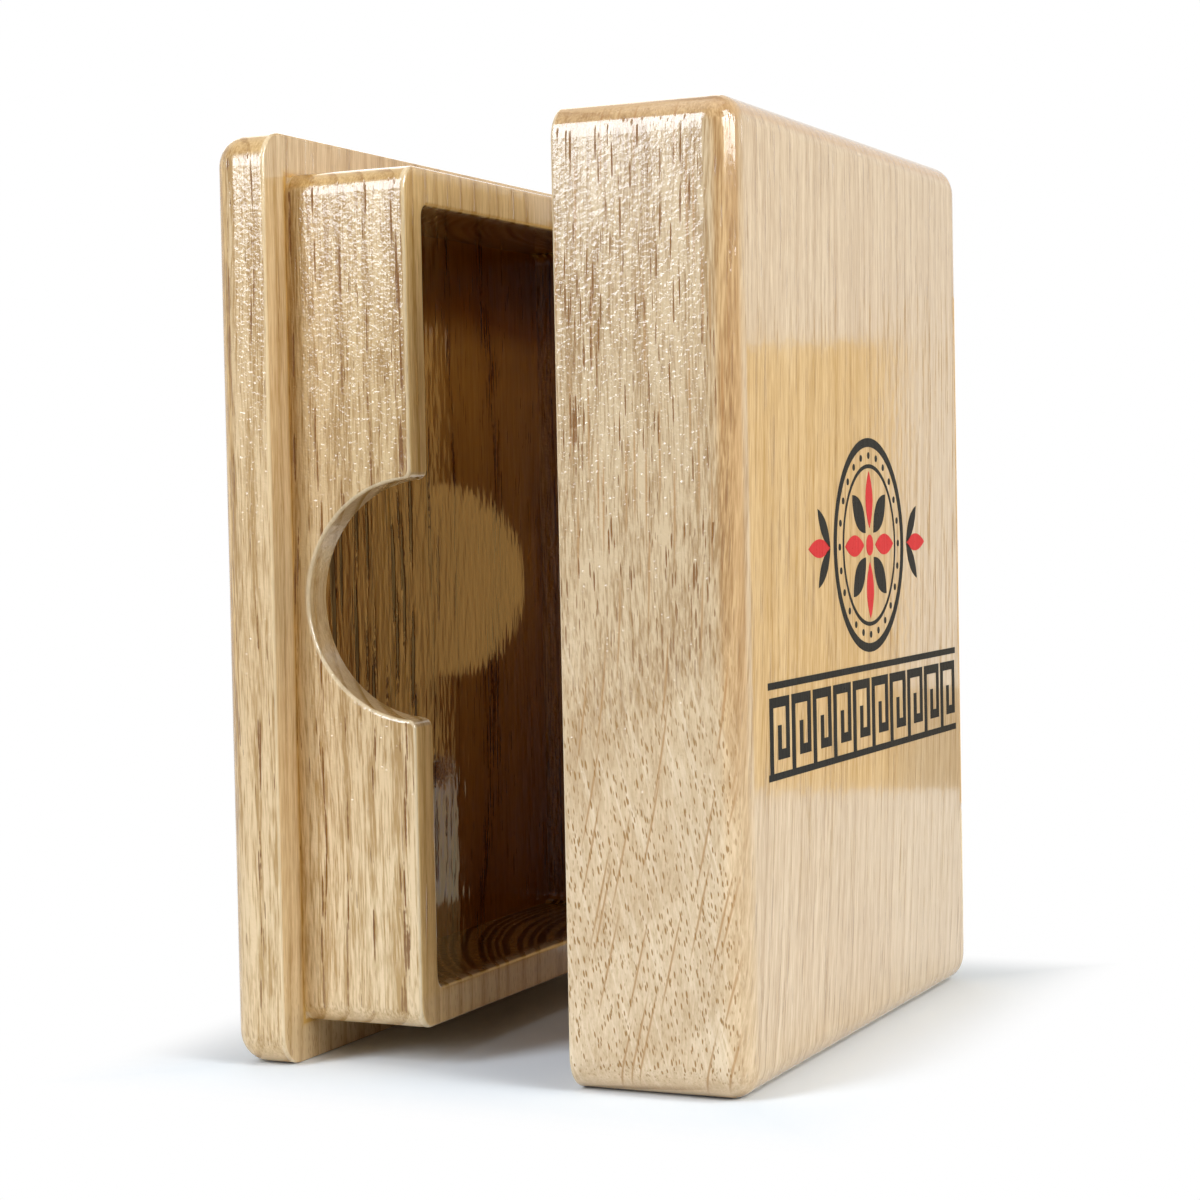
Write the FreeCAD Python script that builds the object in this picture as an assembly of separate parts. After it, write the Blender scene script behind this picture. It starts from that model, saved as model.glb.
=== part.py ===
import FreeCAD, Part

import os

from FreeCAD import Vector

# Slip-cover case for one deck of playing cards, standing on its short end with its cover drawn off.
# Both pieces are milled from one block of oak each, with the grain running up the long side.
# Millimetres. X is the way the cover slides off, Y the case's width, Z its length.
# The origin is the middle of the ground under the open pair.

# The pocket the deck lies in
POCKET_WIDTH = 65.0
POCKET_LENGTH = 92.0
POCKET_CORNER = 1.5

# The tray wall round the pocket, raised from the base plate
TRAY_WALL = 4.4
TRAY_HEIGHT = 16.0
TRAY_CORNER = 2.8
PLATE_THICK = 7.5
FLOOR_THICK = 6.5

# The cover that slips over the tray until its rim meets the plate
COVER_WALL = 4.3
COVER_FACE = 5.1
SIDE_GAP = 0.3
HEAD_GAP = 0.4

# The half-round thumb notch in each long wall, centred on the tray's rim
NOTCH_SILL = 2.0
NOTCH_TIP_ROUND = 1.2

# Outer edges and eased edges
CORNER_ROUND = 4.0
EDGE_ROUND = 3.4
PARTING_EASE = 0.35
RIM_EASE = 0.5
LEAD_IN = 0.6

# How far the cover stands off the plate
DRAWN_OFF = 37.0

# How far a cutter runs past the face it enters
OVERCUT = 2.0

# Each ring lies outside the last: pocket, tray, cover hollow, outline
tray_width = POCKET_WIDTH + 2 * TRAY_WALL
tray_length = POCKET_LENGTH + 2 * TRAY_WALL
hollow_width = tray_width + 2 * SIDE_GAP
hollow_length = tray_length + 2 * SIDE_GAP
hollow_corner = TRAY_CORNER + SIDE_GAP
width = hollow_width + 2 * COVER_WALL
length = hollow_length + 2 * COVER_WALL

hollow_depth = TRAY_HEIGHT + HEAD_GAP
cover_depth = hollow_depth + COVER_FACE
notch_radius = TRAY_HEIGHT - NOTCH_SILL

# Stations along X, from the plate's back to the cover's face
back_x = -(PLATE_THICK + DRAWN_OFF + cover_depth) / 2
parting_x = back_x + PLATE_THICK
tray_rim_x = parting_x + TRAY_HEIGHT
floor_x = back_x + FLOOR_THICK
cover_rim_x = parting_x + DRAWN_OFF
hollow_x = cover_rim_x + hollow_depth
cover_face_x = cover_rim_x + cover_depth
mid_z = length / 2

# Two edges closer than this lie in one plane
SAME_PLACE = 1e-6


def block(start_x, end_x, size_y, size_z, corner):
    """A block centred on the case's long axis, with its four edges along X rounded."""
    corner_point = Vector(start_x, -size_y / 2, mid_z - size_z / 2)
    solid = Part.makeBox(end_x - start_x, size_y, size_z, corner_point)
    along_x = [e for e in solid.Edges if e.BoundBox.XLength > SAME_PLACE]
    return solid.makeFillet(corner, along_x)


def edges_at(solid, x):
    """The edges that lie in the plane at x."""
    return [e for e in solid.Edges if in_plane(e, x)]


def in_plane(edge, x):
    box = edge.BoundBox
    return abs(box.XMin - x) < SAME_PLACE and abs(box.XMax - x) < SAME_PLACE


def lies_inside(edge, size_y, size_z):
    """True for an edge within a rectangle centred on the case's long axis."""
    middle = edge.BoundBox.Center
    inside_y = abs(middle.y) < size_y / 2 + SAME_PLACE
    inside_z = abs(middle.z - mid_z) < size_z / 2 + SAME_PLACE
    return inside_y and inside_z


def is_notch_tip(edge):
    """A short edge across a long wall, where a notch runs out into the rim."""
    box = edge.BoundBox
    across_wall = abs(box.YLength - TRAY_WALL) < SAME_PLACE
    at_notch = abs(abs(box.Center.z - mid_z) - notch_radius) < SAME_PLACE
    return across_wall and at_notch


def is_notch_curve(edge):
    """An arc of a notch or of its rounded tips, on either face of a long wall."""
    box = edge.BoundBox
    wall_faces = (POCKET_WIDTH / 2, tray_width / 2)
    on_a_face = any(abs(abs(box.Center.y) - y) < SAME_PLACE for y in wall_faces)
    flat = box.YLength < SAME_PLACE
    above_plate = box.XMin > parting_x + SAME_PLACE
    near_notch = abs(box.Center.z - mid_z) < notch_radius + NOTCH_TIP_ROUND
    curved = box.XLength > SAME_PLACE and box.ZLength > SAME_PLACE
    return on_a_face and flat and above_plate and near_notch and curved


def make_base_tray():
    plate = block(back_x, parting_x, width, length, CORNER_ROUND)
    plate = plate.makeFillet(EDGE_ROUND, edges_at(plate, back_x))
    plate = plate.makeFillet(PARTING_EASE, edges_at(plate, parting_x))
    tray = block(parting_x, tray_rim_x, tray_width, tray_length, TRAY_CORNER)
    solid = plate.fuse(tray)

    pocket = block(floor_x, tray_rim_x + OVERCUT, POCKET_WIDTH, POCKET_LENGTH, POCKET_CORNER)
    notch_start = Vector(tray_rim_x, -width / 2, mid_z)
    notch = Part.makeCylinder(notch_radius, width, notch_start, Vector(0, 1, 0))
    solid = solid.cut(pocket).cut(notch).removeSplitter()

    tips = [e for e in edges_at(solid, tray_rim_x) if is_notch_tip(e)]
    solid = solid.makeFillet(NOTCH_TIP_ROUND, tips)
    notch_edges = [e for e in solid.Edges if is_notch_curve(e)]
    return solid.makeFillet(RIM_EASE, notch_edges + edges_at(solid, tray_rim_x))


def make_slip_cover():
    solid = block(cover_rim_x, cover_face_x, width, length, CORNER_ROUND)
    solid = solid.makeFillet(EDGE_ROUND, edges_at(solid, cover_face_x))
    solid = solid.makeFillet(PARTING_EASE, edges_at(solid, cover_rim_x))

    hollow = block(cover_rim_x - OVERCUT, hollow_x, hollow_width, hollow_length, hollow_corner)
    solid = solid.cut(hollow)
    rim_edges = edges_at(solid, cover_rim_x)
    mouth = [e for e in rim_edges if lies_inside(e, hollow_width, hollow_length)]
    return solid.makeFillet(LEAD_IN, mouth)


def write(name, shape):
    """One closed solid goes out as one STEP file, named after its piece."""
    solid = shape.Solids[0]
    solid.exportStep(os.path.join("parts", name + ".step"))
    print(name, len(shape.Solids), "solid,", round(solid.Volume / 1000, 1), "cm3, valid", solid.isValid())


os.makedirs("parts", exist_ok=True)
write("base_tray", make_base_tray())
write("slip_cover", make_slip_cover())
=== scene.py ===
"""The looks of an oak case for playing cards: a base plate with a tray, and its slip cover drawn off."""

import math
from types import SimpleNamespace

import bpy
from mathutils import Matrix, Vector


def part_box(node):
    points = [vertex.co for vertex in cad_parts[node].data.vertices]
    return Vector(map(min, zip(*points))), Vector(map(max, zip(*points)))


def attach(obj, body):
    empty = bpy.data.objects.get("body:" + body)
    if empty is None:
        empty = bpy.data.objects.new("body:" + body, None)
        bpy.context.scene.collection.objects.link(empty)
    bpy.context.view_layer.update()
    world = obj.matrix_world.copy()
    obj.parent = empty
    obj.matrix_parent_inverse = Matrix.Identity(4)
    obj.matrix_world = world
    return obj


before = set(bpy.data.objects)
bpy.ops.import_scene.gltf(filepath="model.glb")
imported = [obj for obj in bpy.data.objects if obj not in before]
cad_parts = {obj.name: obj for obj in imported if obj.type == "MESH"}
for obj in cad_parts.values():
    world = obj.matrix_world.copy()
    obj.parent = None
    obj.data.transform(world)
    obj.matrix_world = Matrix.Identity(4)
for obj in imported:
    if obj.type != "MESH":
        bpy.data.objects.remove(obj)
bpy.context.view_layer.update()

MM = 0.001


def corners_in_mm(node):
    """A CAD node's lowest and highest corners at rest, in millimetres."""
    return [[round(v / MM, 3) for v in corner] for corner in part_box(node)]


tray_low, tray_high = corners_in_mm("base_tray")
cover_low, cover_high = corners_in_mm("slip_cover")

# Sizes on the case, in millimetres
PLATE_THICK = 7.5
FLOOR_THICK = 6.5
TRAY_WALL = 4.4
COVER_GAP = 0.3
HOLLOW_DEPTH = 16.4
NOTCH_RADIUS = 14.0
POCKET_HALF_Y = 32.5
POCKET_HALF_Z = 46.0

# Places on the case, in millimetres of the CAD frame
PARTING_X = tray_low[0] + PLATE_THICK
FLOOR_X = tray_low[0] + FLOOR_THICK
RIM_X = tray_high[0]
COVER_RIM_X = cover_low[0]
HOLLOW_X = COVER_RIM_X + HOLLOW_DEPTH
FACE_X = cover_high[0]
MID_Z = cover_high[2] / 2.0
TRAY_HALF_Y = POCKET_HALF_Y + TRAY_WALL
TRAY_HALF_Z = POCKET_HALF_Z + TRAY_WALL
HOLLOW_HALF_Y = TRAY_HALF_Y + COVER_GAP
HOLLOW_HALF_Z = TRAY_HALF_Z + COVER_GAP
COVER_HALF_Y = cover_high[1]

# Where a look changes, in millimetres of the CAD frame: there is none of it at the first place, and all of
# it at the second
COVER_SHORT_PORES_Z = (62.0, 34.0)
TRAY_SHORT_PORES_Z = (20.0, 2.0)
GROOVES_Y = (8.0, -2.0)
CALM_FACE_Y = (-35.0, 20.0)
# These say where light and shade are painted: on the upper long sides, the foot, the edges and the pocket
SHADED_SIDE_Z = (22.0, 62.0)
LIT_FOOT_Z = (50.0, 12.0)
SHADED_EDGE_Z = (20.0, 60.0)
SHADED_END_WALL_Z = (55.0, 20.0)
SHADED_TOP_END_Z = (86.0, 93.0)
SHADED_FOOT_END_Z = (48.0, 14.0)
SHADED_CORNER_Y = (8.0, 30.0)
SHADED_CORNER_Z = (70.0, 90.0)
BEADED_SKIN_Z = (108.0, 88.0)
DULL_TOP_Z = (76.0, 104.0)
FILLED_PORES_Y = (-24.0, -12.0)
DIP_Z = (33.0, 29.0)

# The pocket's floor dips from here towards its near wall, low down
DIP_START_Y = 5.5

# The camera's lens and place, in millimetres, and its turn, in degrees
LENS = 79.698
CAMERA_PLACE = (138.602, -307.564, 65.953)
CAMERA_TURN = (87.882, 1.138, 24.611)


# --- numbers that vary over a surface, written as formulas ---


class Num:
    """The output of a shader node, which +, -, * and / turn into more nodes."""

    def __init__(self, tree, socket):
        self.tree = tree
        self.socket = socket

    def __add__(self, other):
        return maths(self.tree, "ADD", self, other)

    __radd__ = __add__

    def __sub__(self, other):
        return maths(self.tree, "SUBTRACT", self, other)

    def __rsub__(self, other):
        return maths(self.tree, "SUBTRACT", other, self)

    def __mul__(self, other):
        return maths(self.tree, "MULTIPLY", self, other)

    __rmul__ = __mul__

    def __truediv__(self, other):
        return maths(self.tree, "DIVIDE", self, other)

    def root(self):
        return maths(self.tree, "SQRT", self)

    def exp(self):
        return maths(self.tree, "EXPONENT", self)

    def fract(self):
        return maths(self.tree, "FRACT", self)

    def size(self):
        return maths(self.tree, "ABSOLUTE", self)

    def most(self, other):
        return maths(self.tree, "MAXIMUM", self, other)

    def least(self, other):
        return maths(self.tree, "MINIMUM", self, other)

    def clamp(self):
        return self.most(0.0).least(1.0)

    def step(self, start, end):
        """0 before start and 1 after end, with a smooth rise between; falling where end is below start."""
        falling = start > end
        node = self.tree.nodes.new("ShaderNodeMapRange")
        node.interpolation_type = "SMOOTHSTEP"
        feed(self.tree, node.inputs["Value"], self)
        node.inputs["From Min"].default_value = min(start, end)
        node.inputs["From Max"].default_value = max(start, end)
        node.inputs["To Min"].default_value = 1.0 if falling else 0.0
        node.inputs["To Max"].default_value = 0.0 if falling else 1.0
        return Num(self.tree, node.outputs["Result"])


def feed(tree, slot, value):
    """Links a Num or socket to a node's input, or sets a plain value on it."""
    if isinstance(value, Num):
        tree.links.new(value.socket, slot)
    elif isinstance(value, bpy.types.NodeSocket):
        tree.links.new(value, slot)
    else:
        slot.default_value = value


def maths(tree, operation, *values):
    """One step of arithmetic on the surface's numbers."""
    node = tree.nodes.new("ShaderNodeMath")
    node.operation = operation
    for slot, value in zip(node.inputs, values):
        feed(tree, slot, value)
    return Num(tree, node.outputs[0])


def vector(tree, x, y, z):
    """A vector made of three numbers."""
    node = tree.nodes.new("ShaderNodeCombineXYZ")
    for slot, value in zip(node.inputs, (x, y, z)):
        feed(tree, slot, value)
    return node.outputs[0]


def noise(tree, x, y, z, detail=2.0, rough=0.5):
    """Smooth noise about 0, mostly within half a unit of it, with features about one unit wide."""
    node = tree.nodes.new("ShaderNodeTexNoise")
    node.noise_dimensions = "3D"
    feed(tree, node.inputs["Vector"], vector(tree, x, y, z))
    node.inputs["Scale"].default_value = 1.0
    node.inputs["Detail"].default_value = detail
    node.inputs["Roughness"].default_value = rough
    return Num(tree, node.outputs[0]) - 0.5


def cells(tree, x, y, z):
    """Distance to the nearest of scattered points about one unit apart, and that point's random number."""
    node = tree.nodes.new("ShaderNodeTexVoronoi")
    node.voronoi_dimensions = "3D"
    node.feature = "F1"
    feed(tree, node.inputs["Vector"], vector(tree, x, y, z))
    node.inputs["Scale"].default_value = 1.0
    split = tree.nodes.new("ShaderNodeSeparateColor")
    tree.links.new(node.outputs["Color"], split.inputs[0])
    return Num(tree, node.outputs["Distance"]), Num(tree, split.outputs[0])


def flat_cells(tree, across, along):
    """Distance to the nearest of points scattered on a plane, about one unit apart."""
    node = tree.nodes.new("ShaderNodeTexVoronoi")
    node.voronoi_dimensions = "2D"
    feed(tree, node.inputs["Vector"], vector(tree, across, along, 0.0))
    node.inputs["Scale"].default_value = 1.0
    return Num(tree, node.outputs["Distance"])


def blend(tree, share, low, high, way="MIX"):
    """A colour that goes from low to high as share goes from 0 to 1."""
    node = tree.nodes.new("ShaderNodeMix")
    node.data_type = "RGBA"
    node.blend_type = way
    feed(tree, node.inputs[0], share)
    for slot, value in ((node.inputs[6], low), (node.inputs[7], high)):
        feed(tree, slot, value if isinstance(value, bpy.types.NodeSocket) else (*value, 1.0))
    return node.outputs[2]


def stain(tree, share, colour, tint):
    """A colour that goes from itself to itself times tint as share goes from 0 to 1."""
    return blend(tree, share, colour, blend(tree, 1.0, colour, tint, "MULTIPLY"))


def coordinates(tree, kind):
    """The three parts of the surface's coordinates of one kind."""
    node = tree.nodes.new("ShaderNodeTexCoord")
    split = tree.nodes.new("ShaderNodeSeparateXYZ")
    tree.links.new(node.outputs[kind], split.inputs[0])
    return [Num(tree, out) for out in split.outputs]


def object_place(tree):
    """The point's place in the CAD frame, in millimetres."""
    return [v * (1.0 / MM) for v in coordinates(tree, "Object")]


# --- materials and pieces ---


def set_bump(tree, surface, height):
    """Gives a surface relief, from its height in millimetres."""
    bump = tree.nodes.new("ShaderNodeBump")
    bump.inputs["Distance"].default_value = MM
    bump.inputs["Strength"].default_value = 1.0
    feed(tree, bump.inputs["Height"], height)
    tree.links.new(bump.outputs[0], surface.inputs["Normal"])


def new_material(name):
    """A new material, its tree and its surface shader."""
    material = bpy.data.materials.new(name)
    material.use_nodes = True
    tree = material.node_tree
    return material, tree, tree.nodes["Principled BSDF"]


def new_piece(name, corners, faces):
    """A piece made of corners, in millimetres, and of faces that list their corners' numbers."""
    mesh = bpy.data.meshes.new(name)
    mesh.from_pydata([[v * MM for v in corner] for corner in corners], [], faces)
    piece = bpy.data.objects.new(name, mesh)
    bpy.context.scene.collection.objects.link(piece)
    return piece


# --- places on the case, each as a number that is 0 elsewhere ---


def eased(x, y, z):
    """1 by the edges that are only just broken: where plate and cover meet, and on the rim and notches."""
    plate = (x - PARTING_X).size().step(0.5, 0.4)
    rim = (x - RIM_X).size().step(0.7, 0.6)
    meeting = (x - COVER_RIM_X).size().step(0.5, 0.4)
    beside_notch = (z - MID_Z).size().step(NOTCH_RADIUS + 1.6, NOTCH_RADIUS + 1.4)
    notch = beside_notch * (x - RIM_X).step(1.0, 0.9) * (x - FLOOR_X).step(0.4, 0.5)
    return plate.most(rim).most(meeting).most(notch)


def notched(x, y, z):
    """1 on the curved faces of the thumb notches, in either long wall."""
    reach = (x - RIM_X) * (x - RIM_X) + (z - MID_Z) * (z - MID_Z)
    on_curve = (reach.root() - NOTCH_RADIUS).size().step(0.5, 0.3)
    in_wall = y.size().step(POCKET_HALF_Y + 0.1, POCKET_HALF_Y + 0.3)
    return on_curve * in_wall * x.step(RIM_X - 0.2, RIM_X - 0.5)


def pocket_depth(x, y, z):
    """1 on the pocket's walls and floor, fading out towards its mouth, and up to 2.5 near its two ends."""
    within_x = (RIM_X - x).step(0.3, 5.0) * (x - FLOOR_X).step(-0.4, -0.1)
    within_y = y.size().step(POCKET_HALF_Y + 0.4, POCKET_HALF_Y + 0.1)
    within_z = (z - MID_Z).size().step(POCKET_HALF_Z + 0.4, POCKET_HALF_Z + 0.1)
    # The part above 1 is for more painted shade at the pocket's two ends and in its far top corner
    shaded_corner = y.step(*SHADED_CORNER_Y) * z.step(*SHADED_CORNER_Z) * 0.5
    shade_at_ends = z.step(*SHADED_TOP_END_Z) + z.step(*SHADED_FOOT_END_Z) * 0.85 + shaded_corner + 1.0
    return within_x * within_y * within_z * shade_at_ends


def hollow_depth(x, y, z):
    """1 on the walls and end of the cover's hollow, fading out towards its mouth."""
    within_x = (x - COVER_RIM_X).step(0.3, 5.0) * x.step(HOLLOW_X + 0.5, HOLLOW_X + 0.1)
    within_y = y.size().step(HOLLOW_HALF_Y + 0.4, HOLLOW_HALF_Y + 0.1)
    within_z = (z - MID_Z).size().step(HOLLOW_HALF_Z + 0.4, HOLLOW_HALF_Z + 0.1)
    return within_x * within_y * within_z


def tray_pool_and_shade(x, y, z):
    """Gathered lacquer and painted shade: 1 where the tray rises from the plate, fading over a millimetre."""
    out_y = y.size() - TRAY_HALF_Y
    out_z = (z - MID_Z).size() - TRAY_HALF_Z
    away = out_y.most(out_z).most(0.0) * 3.0 + (x - PARTING_X).size()
    outside = out_y.most(out_z).step(-0.6, -0.3) * (x - PARTING_X).step(-0.2, -0.05)
    return (away * -1.3).exp() * outside


# --- the wood ---

# How far apart the wood's marks lie, across the grain and along it, in millimetres
PORE_GAP, PORE_RUN = 0.36, 9.0
GROOVE_GAP, GROOVE_RUN = 1.7, 26.0
DASH_GAP, DASH_RUN = 0.36, 1.9
DOT_GAP, DOT_RUN = 0.3, 1.5
RAY_GAP, RAY_RUN = 1.0, 42.0

# The height at which the rays start to lean over, how softly they do, and half their slope below it
RAY_BEND_Z = 44.0
RAY_BEND_SOFT = 150.0
RAY_LEAN = 0.125


def surface_point(tree, inside):
    """Where a point lies, which way its surface looks, and how deep in the piece's own hollow it is.

    facing, long_side and end_grain are 1 where the surface looks along X, Y and Z. upright is 1 where it
    stands upright, and rounded is 1 on the rounded edges, where it looks along none of them.
    """
    x, y, z = object_place(tree)
    normal_x, normal_y, normal_z = [n.size() for n in coordinates(tree, "Normal")]
    within = inside(x, y, z)
    return SimpleNamespace(
        x=x,
        y=y,
        z=z,
        normal_y=normal_y,
        upright=normal_z.step(0.60, 0.15) * 0.8 + normal_z.step(0.9, 0.6) * 0.2,
        long_side=normal_y.step(0.5, 0.95),
        facing=normal_x.step(0.5, 0.95),
        end_grain=normal_z.step(0.6, 0.9),
        rounded=normal_x.most(normal_y).most(normal_z).step(0.985, 0.90),
        within=within,
        in_share=within.clamp(),
    )


def grain_lines(tree, at, pith, ring_width, lean):
    """The growth rings round the pith, and the fibres, bands and patches of tone that run along them."""
    # The grain wanders a little, and leans out low down
    wander_x = noise(tree, at.x * 0.035, at.y * 0.035, at.z * 0.014, 2.0)
    wander_y = noise(tree, at.x * 0.035 + 7.3, at.y * 0.035 - 3.1, at.z * 0.014 + 5.7, 2.0)
    across = at.x + wander_x * 3.0
    lean_depth, lean_fade = lean
    along = at.y + (at.z * (-1.0 / lean_fade)).exp() * lean_depth + wander_y * 3.0

    # Each ring is porous early wood, with its pores in rows, and then dense late wood
    from_x = across - pith[0]
    from_y = along - pith[1]
    radius = (from_x * from_x + from_y * from_y).root()
    ring = (radius + noise(tree, radius * 0.3, 0.0, 4.0, 2.0) * ring_width * 1.6) / ring_width
    season = ring.fract()
    return SimpleNamespace(
        across=across,
        along=along,
        ring=ring,
        early=season.step(0.50, 0.12).most(season.step(0.92, 1.0)),
        row=season.step(0.26, 0.14) * season.step(0.0, 0.04),
        fibre=noise(tree, across * 1.3, along * 1.3, at.z * 0.04, 5.0, 0.75),
        thread=noise(tree, across * 4.4, along * 4.4, at.z * 0.26, 2.0, 0.6),
        band=noise(tree, across * 0.25, along * 0.25, at.z * 0.012, 3.0, 0.6),
        cloud=noise(tree, at.x * 0.045, at.y * 0.045, at.z * 0.03, 3.0, 0.55),
    )


def open_pores(tree, at, grain, tones, rays):
    """Long pores where the cut follows the grain, short ones low down where it crosses it, and grooves."""
    across, along = grain.across, grain.along
    if rays:
        short_share = at.z.step(*COVER_SHORT_PORES_Z) * at.long_side
    else:
        short_share = at.z.step(*TRAY_SHORT_PORES_Z) * 0.4

    # Long pores: the further a pore reaches round its point, the wider the spindle
    spread, chance = cells(tree, across / PORE_GAP, along / PORE_GAP, at.z / PORE_RUN)
    lumps = noise(tree, across * 1.5, along * 1.5, at.z * 1.1, 1.0)
    widths = grain.row * tones["rows"] + chance * tones["scatter"] + at.in_share * tones["grooves"] + 0.04
    reach = widths * (lumps * 0.9 + 1.0)
    kept = chance.step(0.05, 0.25)
    fewer_on_face = 1.0 - at.facing * (1.0 - at.in_share) * 0.72
    pore = (1.0 - (spread / reach).step(0.68, 1.0)) * kept * (1.0 - short_share) * fewer_on_face
    pore = pore * (1.0 - at.rounded * 0.6)
    dent = (1.0 - spread / reach).clamp() * kept * (1.0 - short_share)

    # Grooves, in the near part of the hollow's floor
    gap, gap_chance = cells(tree, across / GROOVE_GAP, along / GROOVE_GAP, at.z / GROOVE_RUN)
    groove = 1.0 - (gap / (gap_chance * 0.30 + 0.20 + lumps * 0.20)).step(0.6, 1.0)
    groove = groove * at.in_share * at.facing * (at.y + gap_chance * 8.0).step(*GROOVES_Y)

    # Short pores: slanting dashes, and finer dots between them
    slanted = across + at.z * 0.13
    spread, chance = cells(tree, slanted / DASH_GAP, along / DASH_GAP, at.z / DASH_RUN)
    dash = (1.0 - (spread / (chance * 0.16 + 0.26)).step(0.55, 1.0)) * short_share
    spread, chance = cells(tree, across / DOT_GAP, along / DOT_GAP + 7.0, at.z / DOT_RUN)
    dot = (1.0 - (spread / (chance * 0.16 + 0.16)).step(0.55, 1.0)) * short_share
    return SimpleNamespace(short_share=short_share, pore=pore, dent=dent, groove=groove, dash=dash, dot=dot)


def wood_colour(tree, at, grain, short_share, tones, rays, on_rim):
    """The wood's colour: rings, fibres, bands and patches, with painted shade up high and light low down."""
    tone = grain.early * (tones["rings"] + at.end_grain * 0.5)
    calm_face = at.facing * (at.y.step(*CALM_FACE_Y) * 0.25 + 0.35)
    contrast = 1.0 + at.long_side * 0.4 - short_share * 0.9 - at.end_grain * 0.6 - calm_face
    fibres = grain.fibre * 2.5 + grain.thread * 2.3 + grain.band * 0.9
    tone = tone + fibres * contrast * (at.upright * 0.6 + 0.4)
    tone = (tone + 0.34 - short_share * 0.08 + at.facing * (0.06 if rays else 0.0)).clamp()
    colour = blend(tree, tone, tones["late"], tones["early"])
    colour = stain(tree, (grain.cloud * 1.6 + 0.3).clamp(), colour, tones["cloud"])
    # Painted shade: the long sides are darker high up, clear of the plate
    shade = at.long_side * at.z.step(*SHADED_SIDE_Z) * (at.x - PARTING_X).step(-0.6, 0.4)
    colour = stain(tree, shade, colour, tones["shade"])
    # Painted light: the wood is paler and bluer low down, except on the tray's rim
    return stain(tree, at.z.step(*LIT_FOOT_Z) * (1.0 - on_rim), colour, tones["foot"])


def with_rays(tree, at, short_share, colour, tones):
    """Pale flecks, and thin rays that run upright high up and lean over low down."""
    fleck = noise(tree, (at.x + at.z * 0.27) * 1.5, at.y * 0.05, at.z * 0.09, 3.0, 0.6)
    colour = blend(tree, (fleck * 4.5).clamp() * short_share * 0.65, colour, tones["gleam"])
    drop = RAY_BEND_Z - at.z
    bent = at.x + (drop + (drop * drop + RAY_BEND_SOFT).root()) * RAY_LEAN
    line = flat_cells(tree, bent / RAY_GAP, at.z / RAY_RUN)
    ray = (1.0 - (line / 0.18).step(0.4, 1.0)) * at.long_side
    return blend(tree, ray * 0.85, colour, tones["ray"])


def with_pores(tree, at, marks, colour, tones):
    """The pores and grooves, fainter on the faces that lie across the grain."""
    colour = blend(tree, marks.dot * 0.5 * at.upright, colour, tones["dash"])
    colour = blend(tree, marks.dash * 0.95 * at.upright, colour, tones["dash"])
    colour = blend(tree, marks.pore * (at.upright * 0.75 + 0.25), colour, tones["pore"])
    # Filled grooves, in the colour that also paints shade on the hollow's end walls
    return blend(tree, marks.groove * 0.9, colour, tones["groove_and_shade"])


def with_edges(tree, at, colour, tones):
    """Painted shade on the rounded edges and in the hollow, and a painted highlight along the sharp edges."""
    out_y = (at.y.size() - HOLLOW_HALF_Y).most((at.z - MID_Z).size() - (NOTCH_RADIUS + 2.0)).step(0.0, 1.5)
    # Painted shade on the rounded edges, most of it high up
    edge = at.rounded * out_y * (at.z.step(*SHADED_EDGE_Z) * 0.85 + 0.15)
    colour = stain(tree, edge, colour, tones["edge"])
    # Painted highlight: a pale line along the sharp, eased edges
    sharp = at.normal_y.step(0.12, 0.3) * at.normal_y.step(0.985, 0.9) * eased(at.x, at.y, at.z)
    colour = blend(tree, sharp * 0.4, colour, tones["edge_highlight"])
    # Painted shade in the hollow, and more of it at the pocket's ends and far top corner
    colour = stain(tree, at.in_share, colour, tones["inside"])
    return stain(tree, (at.within - 1.0).clamp(), colour, tones["deep"])


def with_arcs(tree, at, ring, colour, tones):
    """Across the grain, the hollow's end walls show each ring's porous early wood as an arc."""
    end_wall = at.end_grain * at.in_share
    # Painted shade on the hollow's end walls, more of it low down
    colour = blend(tree, end_wall * (at.z.step(*SHADED_END_WALL_Z) * 0.7 + 0.2), colour, tones["groove_and_shade"])
    fine = (ring * 1.6).fract()
    broken = (noise(tree, at.x * 2.2, at.y * 2.2, at.z, 2.0) * 1.8 + 0.85).clamp()
    arc = fine.step(0.0, 0.15) * fine.step(0.60, 0.40) * end_wall * broken
    return blend(tree, arc * 0.85, colour, tones["arc"])


def lacquer_height(tree, at, grain, marks, pool_and_shade):
    """The lacquer's relief, in millimetres: sunk pores, a fine orange-peel with beads, and long waves."""
    sunk = (marks.dent * -0.07 + marks.dash * -0.02) * at.upright
    height = sunk * (1.0 - at.in_share * (at.y.step(*FILLED_PORES_Y) * 0.35 + 0.6)) - marks.groove * 0.12
    peel = noise(tree, at.x * 1.8, at.y * 1.8, at.z * 1.7, 2.0, 0.55)
    skin = at.normal_y.step(0.93, 0.99).most(notched(at.x, at.y, at.z))
    skin = skin * (at.z.step(*BEADED_SKIN_Z) * 0.55 + 0.45)
    spot, spot_chance = cells(tree, at.x * 1.5, at.y * 1.5, at.z * 1.5)
    bead = spot.step(0.40, 0.0) * spot_chance.step(0.5, 0.8)
    height = height + (peel * 0.060 + bead * 0.030) * skin + peel * 0.003
    flow = noise(tree, grain.across, grain.along, at.z * 0.22, 1.0, 0.5)
    height = height + flow * (at.in_share * 0.075 + 0.008)
    ripple = noise(tree, grain.across * 0.9, grain.along * 0.9, at.z * 0.45, 1.0, 0.5)
    height = height + ripple * at.facing * (1.0 - at.in_share) * 0.014
    if pool_and_shade:
        dip = (DIP_START_Y - at.y).most(0.0) * (at.z + peel * 5.0).step(*DIP_Z)
        height = height - dip * at.in_share * at.facing * 0.05
    return height


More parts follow.
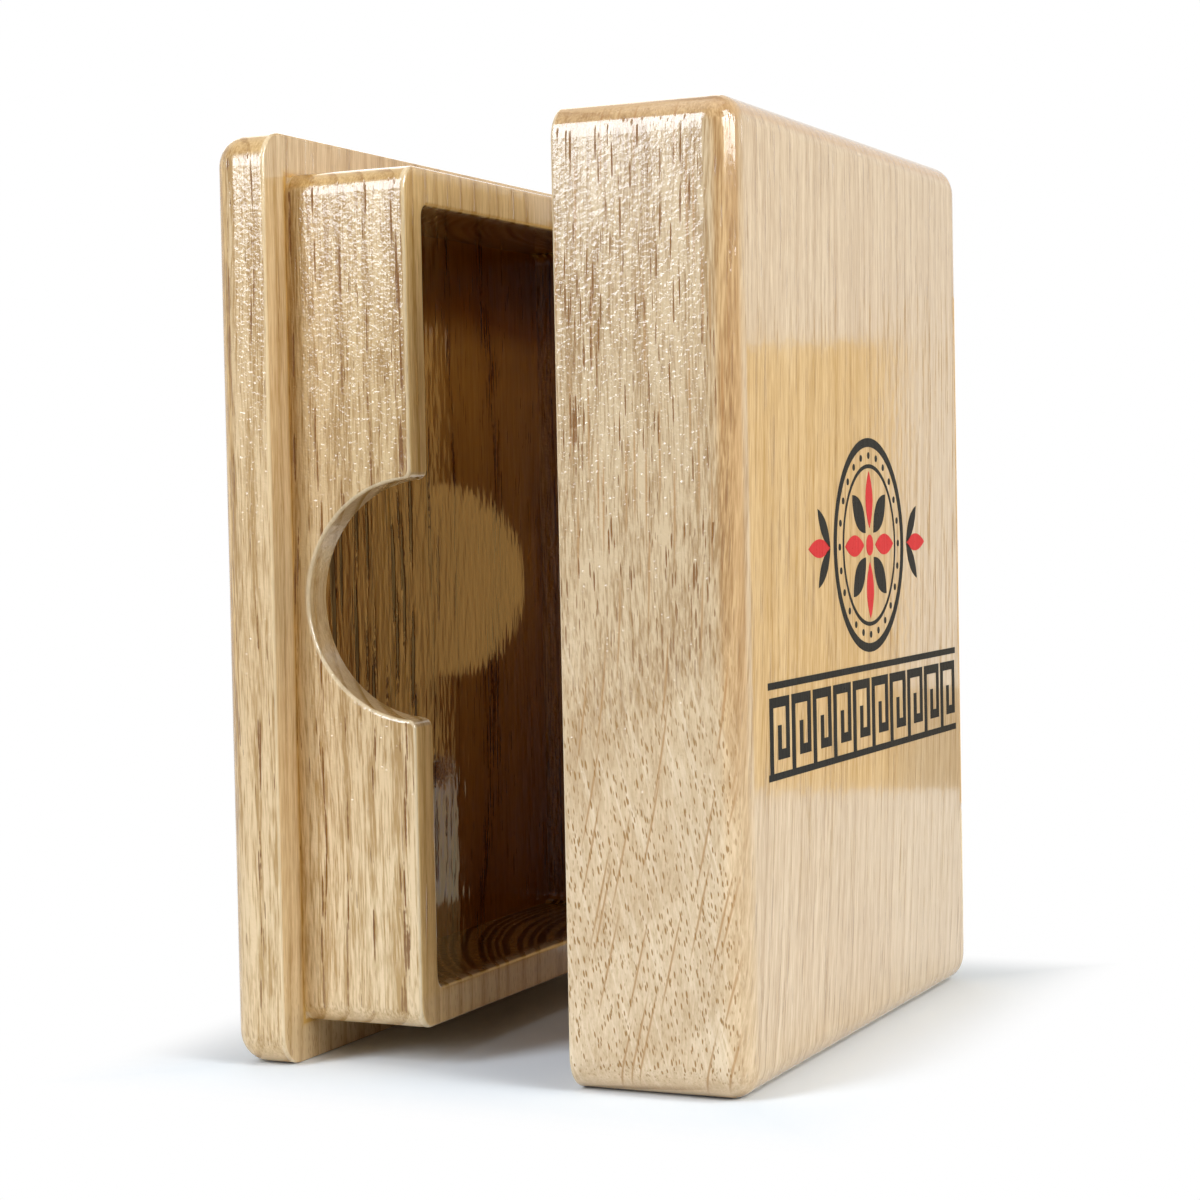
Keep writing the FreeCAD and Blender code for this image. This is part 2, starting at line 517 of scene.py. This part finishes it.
def lacquer_roughness(at, fibre, marks):
    """Nearly a mirror, and duller in the pores, on the hollow's end walls and high on the long sides."""
    end_wall = at.end_grain * at.in_share
    dull = end_wall * 0.04 + at.long_side * (1.0 - at.in_share) * at.z.step(*DULL_TOP_Z) * 0.05
    rough = marks.pore * (1.0 - at.in_share) * 0.12 + marks.groove * 0.22 + fibre * 0.06 + 0.08
    return (rough - at.rounded * 0.025 + dull).clamp()


def oak(name, pith, ring_width, lean, rays, tones, inside, pool_and_shade=None):
    """Lacquered oak, solid through the piece, with its grain along Z.

    pith is where the rings' centre passes, in X and Y, and ring_width a ring's width. lean says how the grain
    runs out towards -Y low down: how far at the foot, and the height over which that fades. With rays, the
    long sides show rays, and short pores below. tones holds the wood's colours, and tints of painted light
    and shade. inside gives how deep in the piece's own hollow a point lies, and above 1 how much more shade
    is painted there. The last argument gives how much lacquer has gathered in the tray's corner, where shade
    is painted too. Lengths are in millimetres.
    """
    material, tree, surface = new_material(name)
    at = surface_point(tree, inside)
    grain = grain_lines(tree, at, pith, ring_width, lean)
    marks = open_pores(tree, at, grain, tones, rays)
    # The tray's rim face, which gets painted light of its own in place of the foot's
    on_rim = (at.x - RIM_X).step(-0.1, -0.02) if pool_and_shade else 0.0

    colour = wood_colour(tree, at, grain, marks.short_share, tones, rays, on_rim)
    if rays:
        colour = with_rays(tree, at, marks.short_share, colour, tones)
    colour = with_pores(tree, at, marks, colour, tones)
    colour = with_edges(tree, at, colour, tones)
    colour = with_arcs(tree, at, grain.ring, colour, tones)
    if pool_and_shade:
        # Gathered lacquer, and painted shade, in the tray's corner by the plate
        colour = stain(tree, pool_and_shade(at.x, at.y, at.z), colour, tones["amber"])
        # Painted light: the tray's rim is paler and warmer
        colour = stain(tree, on_rim, colour, tones["rim"])

    feed(tree, surface.inputs["Base Color"], colour)
    feed(tree, surface.inputs["Roughness"], lacquer_roughness(at, grain.fibre, marks))
    surface.inputs["IOR"].default_value = 1.6
    set_bump(tree, surface, lacquer_height(tree, at, grain, marks, pool_and_shade))
    return material


# A piece's tones. late and early are the colours of a ring's dense and porous wood, and rings says how much
# the rings show. rows, scatter and grooves say how much wider pores are in the rings' rows, at random, and
# in the hollow. ray, gleam, dash, pore and arc are the colours of rays, flecks, short and long pores and
# arcs;
# one more colour is a painted highlight along the sharp edges, and one serves both for filled grooves and as
# painted shade on the hollow's end walls. The others are tints, by which the wood's colour is multiplied:
# cloud in broad patches, shade as painted shade high on the long sides, foot as painted light low down, edge
# as painted shade on the rounded edges, inside as painted shade in the hollow, deep as more of it at its
# ends, amber for lacquer gathered in the tray's corner with painted shade there, and rim as painted light on
# the tray's rim.
TRAY_TONES = {
    "late": (0.70, 0.507, 0.286),
    "early": (0.40, 0.235, 0.08),
    "rings": 0.32,
    "rows": 0.38,
    "scatter": 0.15,
    "grooves": 0.06,
    "cloud": (0.94, 0.87, 0.78),
    "shade": (0.87, 0.835, 0.75),
    "foot": (1.10, 1.14, 1.20),
    "dash": (0.31, 0.15, 0.04),
    "pore": (0.18, 0.065, 0.004),
    "edge": (0.97, 0.88, 0.66),
    "edge_highlight": (0.84, 0.70, 0.47),
    "rim": (1.13, 1.05, 0.82),
    "amber": (0.90, 0.74, 0.36),
    "inside": (0.62, 0.37, 0.11),
    "deep": (0.55, 0.38, 0.18),
    "groove_and_shade": (0.03, 0.008, 0.001),
    "arc": (0.40, 0.19, 0.035),
}
COVER_TONES = {
    "late": (0.69, 0.507, 0.306),
    "early": (0.40, 0.24, 0.10),
    "rings": 0.20,
    "rows": 0.20,
    "scatter": 0.33,
    "grooves": 0.0,
    "cloud": (0.955, 0.91, 0.85),
    "shade": (0.90, 0.90, 0.88),
    "foot": (1.10, 1.15, 1.24),
    "ray": (0.42, 0.23, 0.085),
    "gleam": (0.86, 0.70, 0.49),
    "dash": (0.30, 0.15, 0.030),
    "pore": (0.20, 0.075, 0.005),
    "edge": (0.93, 0.80, 0.60),
    "edge_highlight": (0.84, 0.70, 0.47),
    "inside": (0.62, 0.48, 0.32),
    "deep": (1.0, 1.0, 1.0),
    "groove_and_shade": (0.20, 0.10, 0.03),
    "arc": (0.40, 0.25, 0.12),
}

oak_tray = oak(
    "oak_tray",
    pith=(39.7, 26.0),
    ring_width=2.3,
    lean=(1.5, 40.0),
    rays=False,
    tones=TRAY_TONES,
    inside=pocket_depth,
    pool_and_shade=tray_pool_and_shade,
)
oak_cover = oak(
    "oak_cover",
    pith=(40.0, 110.0),
    ring_width=2.6,
    lean=(11.0, 50.0),
    rays=True,
    tones=COVER_TONES,
    inside=hollow_depth,
)
for node_name, material in (("base_tray", oak_tray), ("slip_cover", oak_cover)):
    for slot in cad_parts[node_name].material_slots:
        slot.material = material


# --- the print on the cover's face: a rosette over a band of square spirals ---


def ink_material(name, dark, light):
    """Printed ink, a little uneven where it lies over the grain."""
    material, tree, surface = new_material(name)
    x, y, z = object_place(tree)
    grain = noise(tree, x, y * 2.2, z * 0.12, 4.0, 0.7)
    speck = noise(tree, x * 3.0, y * 3.0, z * 3.0, 2.0, 0.6)
    colour = blend(tree, (grain * 1.6 + speck * 0.8 + 0.45).clamp(), dark, light)
    feed(tree, surface.inputs["Base Color"], colour)
    feed(tree, surface.inputs["Roughness"], (speck * 0.3 + 0.33).clamp())
    surface.inputs["Specular IOR Level"].default_value = 0.02
    set_bump(tree, surface, grain * 0.02 + speck * 0.006)
    return material


# The ink stands just proud of the cover's face, and starts just inside it
INK_TOP = FACE_X + 0.04
INK_FOOT = FACE_X - 0.02


def turned_out(polygon):
    """The polygon, from the same first point, in the order that makes its face look out of the cover."""
    after = polygon[1:] + polygon[:1]
    area = sum(a[0] * b[1] - b[0] * a[1] for a, b in zip(polygon, after))
    return polygon if area > 0.0 else polygon[:1] + polygon[:0:-1]


def printed(name, patches, material):
    """A thin print on the cover's face. Each patch is a list of polygons of (y, z), in millimetres."""
    corners = []
    faces = []
    for patch in patches:
        known = {}
        edges = []
        for polygon in patch:
            top = []
            for point in turned_out(polygon):
                if point not in known:
                    known[point] = len(corners)
                    corners += [(INK_TOP, *point), (INK_FOOT, *point)]
                top.append(known[point])
            faces += [top, [v + 1 for v in reversed(top)]]
            edges += zip(top, top[1:] + top[:1])
        faces += [(a, a + 1, b + 1, b) for a, b in edges if (b, a) not in edges]
    piece = new_piece(name, corners, faces)
    piece.data.materials.append(material)
    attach(piece, "cover")


# The rosette's middle
ROSETTE_Y, ROSETTE_Z = 2.0, 60.0


def round_point(radius, angle):
    """A point at radius and angle, in degrees, from the rosette's middle."""
    turn = math.radians(angle)
    return (round(ROSETTE_Y + radius * math.cos(turn), 5), round(ROSETTE_Z + radius * math.sin(turn), 5))


def ring_patch(inner, outer, steps=72):
    """A ring round the rosette's middle, between two radii."""
    turn = 360.0 / steps
    return [
        [
            round_point(inner, i * turn),
            round_point(outer, i * turn),
            round_point(outer, (i + 1) % steps * turn),
            round_point(inner, (i + 1) % steps * turn),
        ]
        for i in range(steps)
    ]


def dot_patch(centre, radius, steps=18):
    """A round dot, as one polygon."""
    turns = [2.0 * math.pi * i / steps for i in range(steps)]
    return [[(centre[0] + radius * math.cos(t), centre[1] + radius * math.sin(t)) for t in turns]]


def leaf_patch(foot, angle, length, width, steps=12):
    """A leaf from its foot along angle: two arcs that meet in points."""
    turn = math.radians(angle)
    ahead = (math.cos(turn), math.sin(turn))
    aside = (-math.sin(turn), math.cos(turn))
    side = []
    for i in range(1, steps):
        bulge = math.sin(math.pi * i / steps) ** 0.85
        side.append((length * i / steps, width / 2.0 * bulge))
    outline = [(0.0, 0.0), *side, (length, 0.0), *((run, -out) for run, out in reversed(side))]
    leaf = []
    for run, out in outline:
        leaf.append((foot[0] + run * ahead[0] + out * aside[0], foot[1] + run * ahead[1] + out * aside[1]))
    return [leaf]


def line_patch(points, width):
    """A line of one width along points, with square mitred corners."""
    half = width / 2.0
    left, right = [], []
    for i, (y, z) in enumerate(points):
        before = points[max(i - 1, 0)]
        after = points[min(i + 1, len(points) - 1)]
        ways = [(y - before[0], z - before[1]), (after[0] - y, after[1] - z)]
        ways = [(a / math.hypot(a, b), b / math.hypot(a, b)) for a, b in ways if a or b]
        sides = [(-b, a) for a, b in ways]
        out_y = sides[0][0] + (sides[1][0] if len(sides) > 1 and sides[1] != sides[0] else 0.0)
        out_z = sides[0][1] + (sides[1][1] if len(sides) > 1 and sides[1] != sides[0] else 0.0)
        left.append((y + out_y * half, z + out_z * half))
        right.append((y - out_y * half, z - out_z * half))
    return [[left[i], right[i], right[i + 1], left[i + 1]] for i in range(len(points) - 1)]


# The rosette's rings, from the inside out, as inner and outer radii, and the ring of dots between them
INNER_RING = (9.4, 9.9)
OUTER_RING = (12.0, 13.1)
DOT_RING = 10.95
DOT_COUNT = 24
DOT_RADIUS = 0.42
MIDDLE_RADIUS = 1.3

# Its leaves, and those of the sprigs on either side, as length and width, and how far out they start
LEAF_START = 2.1
LEAF_BLACK = (6.6, 3.2)
LEAF_RED = (6.9, 2.6)
SPRIG_START = 14.3
SPRIG_SPREAD = 48.0
SPRIG_BLACK = (6.2, 2.0)
SPRIG_RED = (7.4, 2.2)

# The band's ends, its foot and top, and the widths of its lines
BAND_START, BAND_END, BAND_LOW, BAND_HIGH = -33.5, 36.5, 34.5, 45.5
BAND_LINE = 0.8
SPIRAL_LINE = 1.15
SPIRAL_COUNT = 10

# One spiral, from where it starts in its share of the band: its width, its top and foot, and its inner end
SPIRAL_START = 0.95
SPIRAL_WIDE = 5.1
SPIRAL_TOP, SPIRAL_FOOT, SPIRAL_TIP = 43.2, 37.3, 40.6


def rosette():
    """The rosette's black and red patches, with a sprig of three leaves on either side."""
    black = [ring_patch(*OUTER_RING), ring_patch(*INNER_RING)]
    black += [dot_patch(round_point(DOT_RING, i * 360.0 / DOT_COUNT), DOT_RADIUS) for i in range(DOT_COUNT)]
    red = []
    for quarter in (0.0, 90.0, 180.0, 270.0):
        slant = 45.0 + quarter
        black.append(leaf_patch(round_point(LEAF_START, slant), slant, *LEAF_BLACK))
        red.append(leaf_patch(round_point(LEAF_START, quarter), quarter, *LEAF_RED))
    red.append(dot_patch(round_point(0.0, 0.0), MIDDLE_RADIUS))
    for way in (0.0, 180.0):
        sprig = round_point(SPRIG_START, way)
        black += [leaf_patch(sprig, way + turn, *SPRIG_BLACK) for turn in (-SPRIG_SPREAD, SPRIG_SPREAD)]
        red.append(leaf_patch(sprig, way, *SPRIG_RED))
    return black, red


def spiral_band():
    """Two long lines with a row of square spirals between them."""
    patches = []
    for level in (BAND_LOW + BAND_LINE / 2.0, BAND_HIGH - BAND_LINE / 2.0):
        patches.append(line_patch([(BAND_START, level), (BAND_END, level)], BAND_LINE))
    pitch = (BAND_END - BAND_START) / SPIRAL_COUNT
    for i in range(SPIRAL_COUNT):
        near = BAND_START + i * pitch + SPIRAL_START
        far = near + SPIRAL_WIDE
        middle = near + SPIRAL_WIDE / 2.0
        corners = [
            (near, BAND_LOW + BAND_LINE),
            (near, SPIRAL_TOP),
            (far, SPIRAL_TOP),
            (far, SPIRAL_FOOT),
            (middle, SPIRAL_FOOT),
            (middle, SPIRAL_TIP),
        ]
        patches.append(line_patch(corners, SPIRAL_LINE))
    return patches


ink_black = ink_material("ink_black", (0.010, 0.011, 0.011), (0.028, 0.030, 0.029))
ink_red = ink_material("ink_red", (0.50, 0.022, 0.026), (0.66, 0.05, 0.05))
rosette_black, rosette_red = rosette()
printed("print_black", rosette_black + spiral_band(), ink_black)
printed("print_red", rosette_red, ink_red)


# --- stage: floor, cards, world and lamps ---

WHITE = (1.0, 1.0, 1.0)

# How far the floor spreads, and how far from the case it takes shadow before it is plain white
FLOOR_REACH = 4000.0
SHADOW_REACH = 18.0

FLOOR_COLOUR = (0.80, 0.825, 0.84)

# How far the lamps stand from the case, and how much light the world adds to theirs
LAMP_DISTANCE = 900.0
WORLD_LIGHT = 0.16

# How far behind the case's middle the cards stand that the pocket's floor mirrors
POCKET_CARD_Y = 100.0


def flat_sheet(name, corners):
    """A flat sheet of the stage through its corners, in millimetres."""
    sheet = new_piece(name, corners, [list(range(len(corners)))])
    return sheet


def empty_material(name):
    """A material with no nodes yet, and its tree."""
    material = bpy.data.materials.new(name)
    material.use_nodes = True
    material.node_tree.nodes.clear()
    return material, material.node_tree


def glow(tree, colour, strength):
    """The shader of a surface that shines by itself."""
    light = tree.nodes.new("ShaderNodeEmission")
    light.inputs["Color"].default_value = (*colour, 1.0)
    light.inputs["Strength"].default_value = strength
    return light.outputs[0]


def show(tree, shader):
    """Makes a shader the one that its material shows."""
    out = tree.nodes.new("ShaderNodeOutputMaterial")
    tree.links.new(shader, out.inputs["Surface"])


def seen_rays(tree):
    """1 for camera, mirror and glass rays, and 0 for the rays that carry light."""
    path = tree.nodes.new("ShaderNodeLightPath")
    rays = [Num(tree, path.outputs[n]) for n in ("Is Camera Ray", "Is Glossy Ray", "Is Transmission Ray")]
    return rays[0].most(rays[1]).most(rays[2])


def make_floor():
    """A pale floor that takes the case's shadow and fades to a plain white glow further out."""
    corners = [(a * FLOOR_REACH, b * FLOOR_REACH, 0.0) for a, b in ((-1, -1), (1, -1), (1, 1), (-1, 1))]
    floor = flat_sheet("floor", corners)
    material, tree = empty_material("floor")
    x, y, _ = object_place(tree)
    away = (x.size() - FACE_X).most(y.size() - COVER_HALF_Y).most(0.0)
    plain = tree.nodes.new("ShaderNodeBsdfDiffuse")
    plain.inputs["Color"].default_value = (*FLOOR_COLOUR, 1.0)
    mixed = tree.nodes.new("ShaderNodeMixShader")
    feed(tree, mixed.inputs[0], away.step(0.0, SHADOW_REACH) * seen_rays(tree))
    tree.links.new(plain.outputs[0], mixed.inputs[1])
    tree.links.new(glow(tree, WHITE, 1.0), mixed.inputs[2])
    show(tree, mixed.outputs[0])
    floor.data.materials.append(material)


def standing(start_x, end_x, y, low, high):
    """The corners of an upright card at y, from start_x to end_x and between two heights."""
    return [(start_x, y, low), (end_x, y, low), (end_x, y, high), (start_x, y, high)]


def card(name, corners, colour, strength):
    """A glowing card that only the lacquer's reflections show."""
    sheet = flat_sheet(name, corners)
    material, tree = empty_material(name)
    show(tree, glow(tree, colour, strength))
    sheet.data.materials.append(material)
    sheet.visible_camera = False
    sheet.visible_diffuse = False
    sheet.visible_shadow = False


def lamp(name, azimuth, elevation, width, height, radiance, colour):
    """A soft oblong lamp aimed at the case. Azimuth turns from -Y towards +X, in degrees."""
    data = bpy.data.lights.new(name, "AREA")
    data.shape = "RECTANGLE"
    data.size = width * MM
    data.size_y = height * MM
    data.color = colour
    data.energy = math.pi * radiance * width * height * MM * MM
    light = bpy.data.objects.new(name, data)
    bpy.context.scene.collection.objects.link(light)
    turn, rise = math.radians(azimuth), math.radians(elevation)
    away = Vector((math.sin(turn) * math.cos(rise), -math.cos(turn) * math.cos(rise), math.sin(rise)))
    target = Vector((0.0, 0.0, MID_Z * MM))
    light.location = target + away * LAMP_DISTANCE * MM
    light.rotation_euler = (target - light.location).to_track_quat("-Z", "Y").to_euler()
    light.visible_camera = False


make_floor()

# The warm room that the cover's face mirrors, and a dark edge beside it
card(
    "honey_card",
    [(115.0, 260.5, 0.0), (182.3, 234.3, 0.0), (200.0, 272.0, 103.0), (128.0, 300.0, 103.0)],
    (0.93, 0.52, 0.08),
    1.0,
)
card(
    "dark_card",
    [(88.8, 270.8, 0.0), (115.0, 260.5, 0.0), (118.0, 269.0, 22.0), (91.0, 280.0, 22.0)],
    (0.20, 0.10, 0.03),
    1.0,
)

# What the pocket's floor mirrors through and past the far thumb notch
card("pocket_card", standing(-30.0, 33.0, POCKET_CARD_Y, 17.0, 97.0), (1.0, 0.60, 0.19), 1.2)
card("pocket_card_side", standing(33.0, 47.0, POCKET_CARD_Y, 17.0, 97.0), (1.0, 0.60, 0.20), 0.7)
card("pocket_card_top", standing(-30.0, 19.0, 60.0, 94.0, 109.0), (0.14, 0.07, 0.015), 1.0)
card(
    "pocket_card_low",
    [(16.0, 68.0, 0.0), (30.0, 68.0, 0.0), (47.0, POCKET_CARD_Y, 16.0), (16.0, POCKET_CARD_Y, 16.0)],
    (1.0, 0.84, 0.52),
    1.12,
)

# A bright window far off on the right, for the highlight at the top of the cover's rounded edge
card(
    "glint_card",
    [(763.0, -477.0, 211.0), (869.0, 233.0, 211.0), (869.0, 233.0, 700.0), (763.0, -477.0, 700.0)],
    WHITE,
    12.0,
)

# The world is white where it is seen or mirrored, and adds only a little light
world = bpy.data.worlds.new("world")
bpy.context.scene.world = world
world.use_nodes = True
background = world.node_tree.nodes["Background"]
background.inputs["Color"].default_value = (*WHITE, 1.0)
strength = seen_rays(world.node_tree) * (1.0 - WORLD_LIGHT) + WORLD_LIGHT
feed(world.node_tree, background.inputs["Strength"], strength)

lamp("window_left", -28.5, 30.3, 269.0, 691.0, 10.9, (0.86, 0.94, 1.05))
lamp("window_right", 81.0, 31.0, 310.0, 691.0, 9.5, (0.92, 0.97, 1.0))
lamp("fill_right", 62.0, 25.0, 250.0, 350.0, 4.2, (0.96, 0.98, 0.98))
lamp("window_top", 0.0, 88.0, 700.0, 700.0, 0.8, WHITE)
lamp("fill_back", 215.0, 32.0, 500.0, 500.0, 1.8, (1.0, 0.99, 0.97))


# --- camera ---

camera_data = bpy.data.cameras.new("camera")
camera_data.lens = LENS
camera_data.sensor_width = 36.0
camera_data.clip_start = 0.01
camera = bpy.data.objects.new("camera", camera_data)
bpy.context.scene.collection.objects.link(camera)
camera.location = [v * MM for v in CAMERA_PLACE]
camera.rotation_euler = [math.radians(v) for v in CAMERA_TURN]
bpy.context.scene.camera = camera

# Colours come out as they are written
bpy.context.scene.view_settings.view_transform = "Standard"
